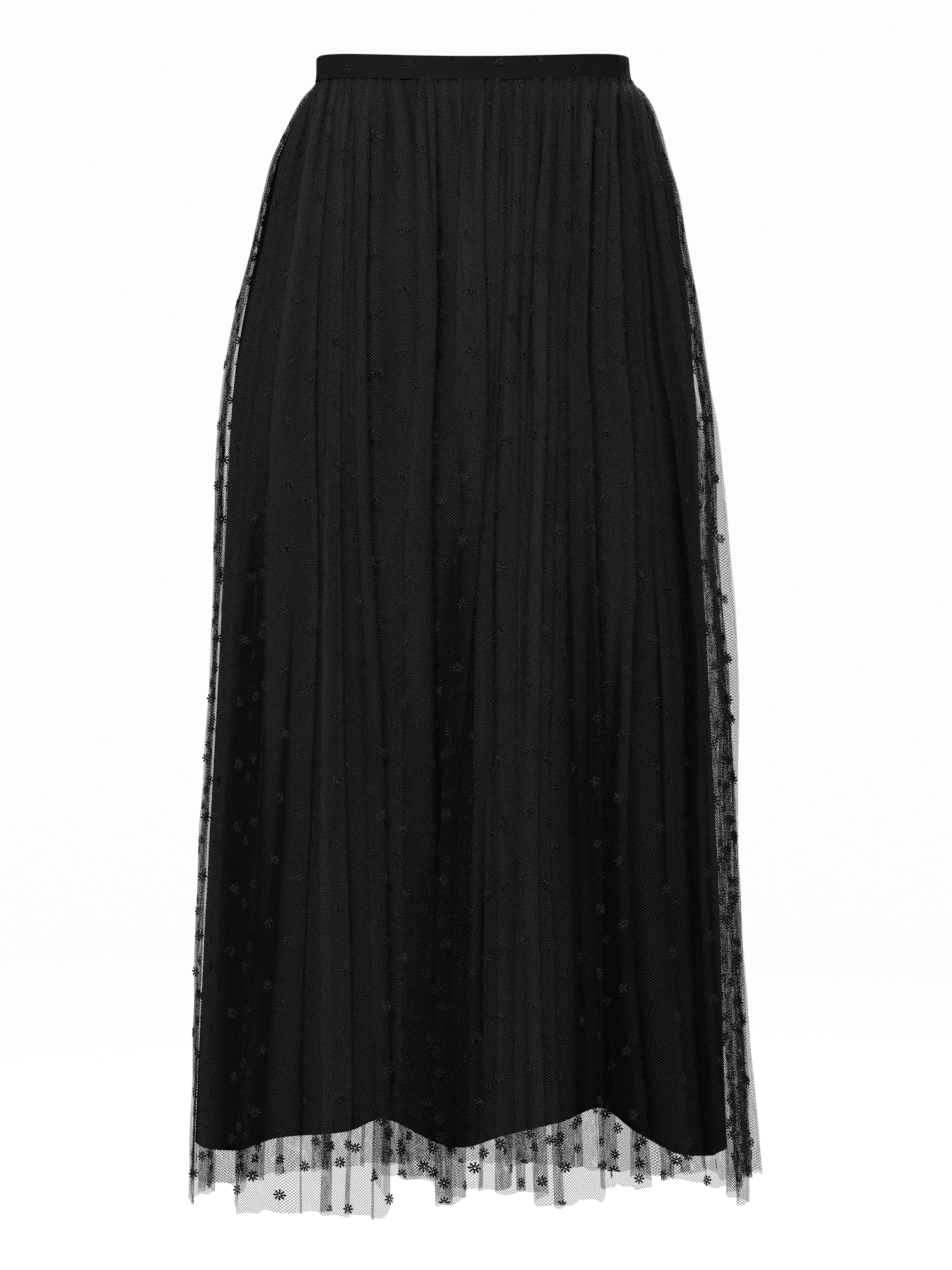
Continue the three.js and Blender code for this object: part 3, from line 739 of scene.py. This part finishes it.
def motif_points(turn):
    """Flat points and heights of a whole motif, petal by petal."""
    all_points = []
    for k in range(PETALS):
        angle = turn + 2 * math.pi * k / PETALS
        length = MOTIF_RADIUS * (1 + 0.05 * math.sin(5 * k + 9 * turn))
        x = length * (PETAL[:, 0] * math.cos(angle) - PETAL[:, 1] * math.sin(angle))
        y = length * (PETAL[:, 0] * math.sin(angle) + PETAL[:, 1] * math.cos(angle))
        all_points.append(np.stack([x, y, PETAL[:, 2]], axis=-1))
    return np.stack(all_points)


def motif_faces(count):
    """Faces of so many petals, one after the other."""
    return (PETAL_FACES[None] + len(PETAL) * np.arange(count)[:, None, None]).reshape(-1, 4)


def motif_mesh(name, panel, centres):
    """All motifs of a length of tulle as one mesh, flat on the cloth, or folded with it near the top."""
    flats, at = [], []
    for number, (u, down) in enumerate(centres):
        petals = motif_points(0.13 * math.sin(3.1 * number))
        tip = down + petals[:, :, 1].max(axis=1)
        petals = petals[tip < panel.hem(u) + 0.8]
        flats.append(petals.reshape(-1, 3))
        at.append(np.repeat([[u, down]], len(petals) * len(PETAL), axis=0))
    flats, at = np.concatenate(flats), np.concatenate(at)
    u, down = at[:, 0], at[:, 1]
    before, after = np.maximum(u - MOTIF_STEP, 0), np.minimum(u + MOTIF_STEP, panel.cut)
    middle = panel.point(u, down)
    right = panel.point(after, down) - panel.point(before, down)
    below = panel.point(u, down + MOTIF_STEP) - panel.point(u, down - MOTIF_STEP)
    right /= np.linalg.norm(right, axis=1, keepdims=True)
    out = np.cross(below, right)
    out /= np.linalg.norm(out, axis=1, keepdims=True)
    below = np.cross(right, out)
    raised = out * (flats[:, 2:] + MOTIF_LIFT)
    stiff = middle + right * flats[:, :1] + below * flats[:, 1:2] + raised
    cloth_u = np.clip(u + flats[:, 0], 0, panel.cut)
    soft = panel.point(cloth_u, down + flats[:, 1]) + raised
    bend = np.interp(down, MOTIF_SOFT["down"], MOTIF_SOFT["share"])[:, None]
    points = soft * bend + stiff * (1 - bend)
    return mesh_object(name, points, motif_faces(len(points) // len(PETAL)))


# Camera, floor and light
def place_camera():
    data = bpy.data.cameras.new("camera")
    data.lens = CAMERA_LENS
    data.sensor_width = 36
    camera = bpy.data.objects.new("camera", data)
    camera.location = (0, -CAMERA_DISTANCE_M, CAMERA_HEIGHT_M)
    camera.rotation_euler = (QUARTER, 0, 0)
    bpy.context.collection.objects.link(camera)
    bpy.context.scene.camera = camera


def backdrop():
    """A pale floor that curves up into a wall all round."""
    profile = [(0.0, FLOOR_M)]
    for turn in np.linspace(0, QUARTER, 13):
        out = WALL_M - CORNER_M + CORNER_M * math.sin(turn)
        profile.append((out, FLOOR_M + CORNER_M * (1 - math.cos(turn))))
    profile.append((WALL_M, FLOOR_M + WALL_HEIGHT_M))
    turns = np.linspace(0, 2 * math.pi, 73)
    rings = [[(out * math.cos(t), out * math.sin(t), z) for t in turns] for out, z in profile]
    points = np.array(rings) * 1000
    floor = sheet_object("floor", points, points[..., :2])
    material, _, _, shader = new_material("pale floor")
    shader.inputs["Base Color"].default_value = (0.10, 0.10, 0.10, 1)
    shader.inputs["Roughness"].default_value = 0.9
    shader.inputs["Specular IOR Level"].default_value = 0.0
    shader.inputs["Emission Color"].default_value = (1, 1, 1, 1)
    shader.inputs["Emission Strength"].default_value = 0.95
    floor.data.materials.append(material)
    floor.visible_diffuse = floor.visible_glossy = floor.visible_shadow = False


def area_light(name, place, target, size, power):
    data = bpy.data.lights.new(name, "AREA")
    data.shape = "RECTANGLE"
    data.size, data.size_y = size
    data.energy = power
    light = bpy.data.objects.new(name, data)
    light.location = place
    aim = Vector(target) - Vector(place)
    light.rotation_euler = aim.to_track_quat("-Z", "Y").to_euler()
    bpy.context.collection.objects.link(light)


def studio_light():
    world = bpy.data.worlds.new("studio")
    world.use_nodes = True
    world.node_tree.nodes["Background"].inputs["Color"].default_value = (1, 1, 1, 1)
    world.node_tree.nodes["Background"].inputs["Strength"].default_value = 0.22
    bpy.context.scene.world = world
    area_light("key", (-1.0, -2.1, 1.5), (0, 0, 0), (1.0, 1.0), 44)
    area_light("fill", (2.4, -2.0, 0.9), (0, 0, -0.1), (1.2, 1.8), 11)
    area_light("back", (1.0, 2.3, 1.4), (0, 0, -0.1), (1.0, 1.0), 36)
    scene = bpy.context.scene
    scene.view_settings.view_transform = "Standard"
    scene.cycles.use_denoising = False
    scene.cycles.transparent_max_bounces = 24


place_camera()
backdrop()
studio_light()

# Tulle
ROWS = 100
COLUMN_STEP = 1.55
TUCKED = {"tulle": 1.5, "lining": 1.0}  # how far both reach up behind the band
PANELS = {
    "front": TullePanel(0, LEFT_SEAM, FRONT_CUT, lasting=0.3),
    "back_left": TullePanel(LEFT_SEAM, CENTRE_BACK, BACK_CUT, lasting=0.7),
    "back_right": TullePanel(CENTRE_BACK, len(FOLDS) - 1, BACK_CUT, lasting=0.7),
}


def tulle_piece(name, panel):
    count = round(panel.cut / COLUMN_STEP) + 1
    u = np.linspace(0, panel.cut, count)[None, :]
    ring = np.linspace(0, 1, ROWS)[:, None] ** 1.25
    top = BAND_HEIGHT - TUCKED["tulle"]
    down = top + ring * (panel.hem(u) - top)
    angle, offset, inside = panel.place(u, down)
    uv = np.stack(np.broadcast_arrays(u, down), axis=-1)
    piece = sheet_object(f"net_{name}", skirt_point(down, angle, offset), uv)
    # The attribute carries painted shade, by how far inside a fold each point lies.
    piece.data.attributes.new("Inside", "FLOAT", "POINT").data.foreach_set("value", inside.ravel())
    return dress(piece, NET, f"tulle_{name}")


def motif_centres(panel):
    centres = []
    for k in range(int(panel.cut / MOTIF_COLUMN) + 1):
        u = (k + 0.5) * MOTIF_COLUMN
        if u > panel.cut - 2:
            continue
        down = MOTIF_TOP + (k % 2) * MOTIF_PITCH / 2 + 7 * math.sin(2.4 * k + panel.first)
        while down < MOTIF_END:
            if BAND_HEIGHT + 2 < down < panel.hem(u) + 1:
                centres.append((u + 2.5 * math.sin(down * 0.7 + k), down))
            down += MOTIF_PITCH
    return centres


for name, panel in PANELS.items():
    net = tulle_piece(name, panel)
    motifs = motif_mesh(f"daisies_{name}", panel, motif_centres(panel))
    dress(motifs, EMBROIDERY)


# Lining
LINING_WALL = 0.9
HEM_TURN = 14.0  # height of the turned-up hem, which is as thick again
HIPS = {"down": [19.5, 30, 60, 120, 200], "share": [0, 1, 1, 0.7, 0]}  # where it lies closer to the tulle
HIPS_OUT = 3.4
LINING_ROUND = 200.0  # mean radius, for its map


def lining_grid(angles, rows, depth):
    top = BAND_HEIGHT - TUCKED["lining"]
    hem = column(LINING_LENGTH, "degrees", np.degrees(angles), "down")[None, :]
    down = top + rows[:, None] * (hem - top)
    grown = np.clip((down - 120) / 600, 0, 1) ** 1.2
    number = np.degrees(angles)[None, :]
    soft = grown * (1.6 * np.sin(number / 5.3 + down / 260) + 1.1 * np.sin(number / 2.9 - down / 310 + 2))
    close = HIPS_OUT * np.sin(angles[None, :]) ** SIDE_POWER * column(HIPS, "down", down, "share")
    offset = lobe(down, angles[None, :]) + soft + close - depth(hem - down)
    return skirt_point(down, angles[None, :], offset, LINING_INSET), down


def lining_piece(name, start, end):
    count = 220
    angles = np.linspace(start, end, round(count * (end - start) / math.pi) + 1)
    rows = np.concatenate([np.linspace(0, 0.97, 40), [0.982, 0.99, 1.0]])
    outer, down = lining_grid(angles, rows, lambda left: 0.0)
    inner, _ = lining_grid(angles, rows, lambda left: LINING_WALL * (1 + (left < HEM_TURN)))
    run = np.broadcast_to(angles[None, :] * LINING_ROUND, down.shape)
    piece = shell_object(f"slip_{name}", outer, inner, np.stack([run, down], axis=-1))
    dress(piece, LINING, f"lining_{name}")
    return piece


ARCS = {
    "front": (-QUARTER, QUARTER),
    "back_left": (QUARTER, 2 * QUARTER),
    "back_right": (2 * QUARTER, 3 * QUARTER),
}
for name, arc in ARCS.items():
    piece = lining_piece(name, *arc)


# Waistband
BAND_ASIDE = {"top": 1.9, "bottom": 0.8, "motifs": 1.3}  # how far its front sits to one side
BAND_ROUND = 105.0  # mean radius, for its map
MOTIF_EDGES = (0.8, BAND_HEIGHT - 0.6)  # where its motifs are cut off


def off_zip(angle):
    """1 but near the zip, where the band stays in its place."""
    return np.clip(1.5 + 1.5 * np.cos(angle), 0, 1)


def band_piece(name, start, end):
    angles = np.linspace(start, end, 181)
    edge = np.linspace(0, QUARTER, 5)
    rows = [(BAND_EDGE * (1 - math.sin(t)), BAND_EDGE * (1 - math.cos(t))) for t in reversed(edge)]
    rows += [(down, -BAND_BELLY * math.sin(math.pi * down / BAND_HEIGHT)) for down in np.linspace(2, 18.6, 9)]
    rows += [(19.2, 0.15), (BAND_HEIGHT, 0.7)]
    down = np.array([row[0] for row in rows])[:, None]
    inward = np.array([row[1] for row in rows])[:, None]
    run = np.degrees(angles)[None, :]
    uneven = 0.16 * np.sin(run / 3.1 + down / 6) + 0.1 * np.sin(run / 1.3)
    outer = skirt_point(down, angles[None, :], -inward + uneven)
    inner = skirt_point(down, angles[None, :], np.maximum(inward, 0) - BAND_WALL)
    fall = BAND_ASIDE["top"] - BAND_ASIDE["bottom"]
    aside = (BAND_ASIDE["top"] - fall * down / BAND_HEIGHT) * off_zip(angles[None, :])
    outer[..., 0] -= aside
    inner[..., 0] -= aside
    uv = np.stack(np.broadcast_arrays(angles[None, :] * BAND_ROUND, down), axis=-1)
    piece = shell_object(f"band_{name}", outer, inner, uv)
    dress(piece, BAND, f"waistband_{name}")
    return piece


def band_motifs(name, start, end):
    """Motifs that lie flat on the band's outside."""
    at = [
        (math.radians(degrees), down)
        for degrees, down in zip(BAND_MOTIFS["degrees"], BAND_MOTIFS["down"])
        if start < math.radians(degrees) < end
    ]
    points = []
    for number, (angle, down) in enumerate(at):
        flats = motif_points(0.4 * number).reshape(-1, 3)
        wide, deep = reach(down, angle)
        turn = angle + flats[:, 0] / np.hypot(wide * math.cos(angle), deep * math.sin(angle))
        height = np.clip(down + flats[:, 1], *MOTIF_EDGES)
        points.append(skirt_point(height, turn, BAND_BELLY + 0.2 + flats[:, 2]))
        points[-1][:, 0] -= BAND_ASIDE["motifs"] * off_zip(angle)
    return mesh_object(f"band_daisies_{name}", np.concatenate(points), motif_faces(PETALS * len(at)))


for name, arc in ARCS.items():
    piece = band_piece(name, *arc)
    motifs = dress(band_motifs(name, *arc), EMBROIDERY)

for node in ("zip_slider", "zip_pull"):
    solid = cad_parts[node]
    solid.data.materials.clear()
    solid.data.materials.append(METAL)
